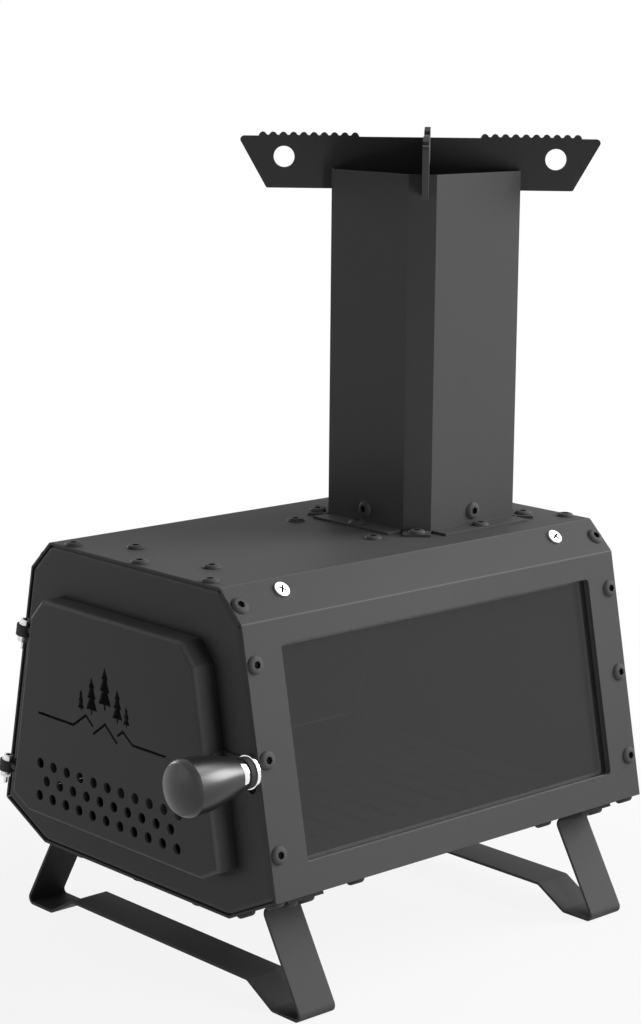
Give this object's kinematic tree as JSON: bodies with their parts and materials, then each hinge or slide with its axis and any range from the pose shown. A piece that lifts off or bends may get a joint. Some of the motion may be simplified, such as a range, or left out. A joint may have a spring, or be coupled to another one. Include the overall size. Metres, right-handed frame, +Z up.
{
  "type": "outdoor rocket stove",
  "caption": "Eight-sided steel camp stove on strap legs, with a hinged front door, a side window, a square chimney and slotted cross plates for a pot.",
  "frame": {"origin": "on the ground, under the middle of the whole stove with its knob and cross plates", "axes": "+Z up, -Y towards the door end, +X towards the window side"},
  "size_m": [0.3384, 0.4794, 0.6343],
  "materials": {
    "black_powder_coat": "matte",
    "black_screw": "matte",
    "oven_glass": "gloss",
    "glass_fibre": "matte",
    "knob_grey": "satin",
    "bright_chrome": "polished",
    "dark_ring": "satin",
    "zinc_steel": "satin",
    "bare_steel": "satin"
  },
  "bodies": {
    "stove": {"body_shell": "black_powder_coat", "base_pan": "black_powder_coat", "front_panel": "black_powder_coat", "rear_panel": "black_powder_coat", "window_gasket": "glass_fibre", "window_glass": "oven_glass", "window_carrier": "bare_steel", "heat_baffle": "bare_steel", "baffle_spacers": "bare_steel", "grate_rail_right": "black_powder_coat", "grate_rail_left": "black_powder_coat", "body_ear_upper": "black_powder_coat", "body_ear_lower": "black_powder_coat", "hinge_pins": "zinc_steel", "hinge_nuts": "zinc_steel", "leg_front": "black_powder_coat", "leg_rear": "black_powder_coat", "chimney_tube": "black_powder_coat", "flue_sleeve": "bare_steel", "side_screws_right": "black_screw", "side_screws_left": "black_screw", "chamfer_screws": "black_screw", "top_screws": "black_screw", "base_screws": "black_screw", "lower_screws": "black_screw", "rail_screws": "black_screw", "tab_screws": "black_screw", "baffle_screws": "black_screw", "leg_screws": "black_screw", "sleeve_screws": "black_screw", "carrier_screws": "zinc_steel", "panel_nuts": "zinc_steel", "rail_nuts": "zinc_steel", "tab_nuts": "zinc_steel", "baffle_nuts": "zinc_steel", "leg_nuts": "zinc_steel", "sleeve_nuts": "zinc_steel", "carrier_nuts": "zinc_steel"},
    "door": {"door_pan": "black_powder_coat", "door_ear_upper": "black_powder_coat", "door_ear_lower": "black_powder_coat", "latch_bracket": "black_powder_coat"},
    "latch": {"latch_shaft": "zinc_steel", "knob_washer": "bright_chrome", "knob_spacer": "dark_ring", "knob_collar": "bright_chrome", "knob_handle": "knob_grey"},
    "grate": {"fire_grate": "black_powder_coat"},
    "lower_cross": {"lower_cross_plate": "black_powder_coat"},
    "upper_cross": {"upper_cross_plate": "black_powder_coat"}
  },
  "joints": [
    {"name": "door_swing", "type": "hinge", "parent": "stove", "child": "door", "pos_m": [-0.11935, -0.1817, 0.2498], "axis": [-0.2183, 0, -0.9759], "range_deg": [0, 135]},
    {"name": "latch_turn", "type": "hinge", "parent": "door", "child": "latch", "pos_m": [0.14003, -0.1677, 0.1913], "axis": [0, 1, 0], "range_deg": [0, 90]},
    {"name": "grate_lift", "type": "slide", "parent": "stove", "child": "grate", "axis": [0, 0, 1], "range_m": [0, 0.03]},
    {"name": "lower_plate_lift", "type": "slide", "parent": "stove", "child": "lower_cross", "axis": [0, 0, 1], "range_m": [0, 0.06]},
    {"name": "upper_plate_lift", "type": "slide", "parent": "lower_cross", "child": "upper_cross", "axis": [0, 0, 1], "range_m": [0, 0.06]}
  ]
}
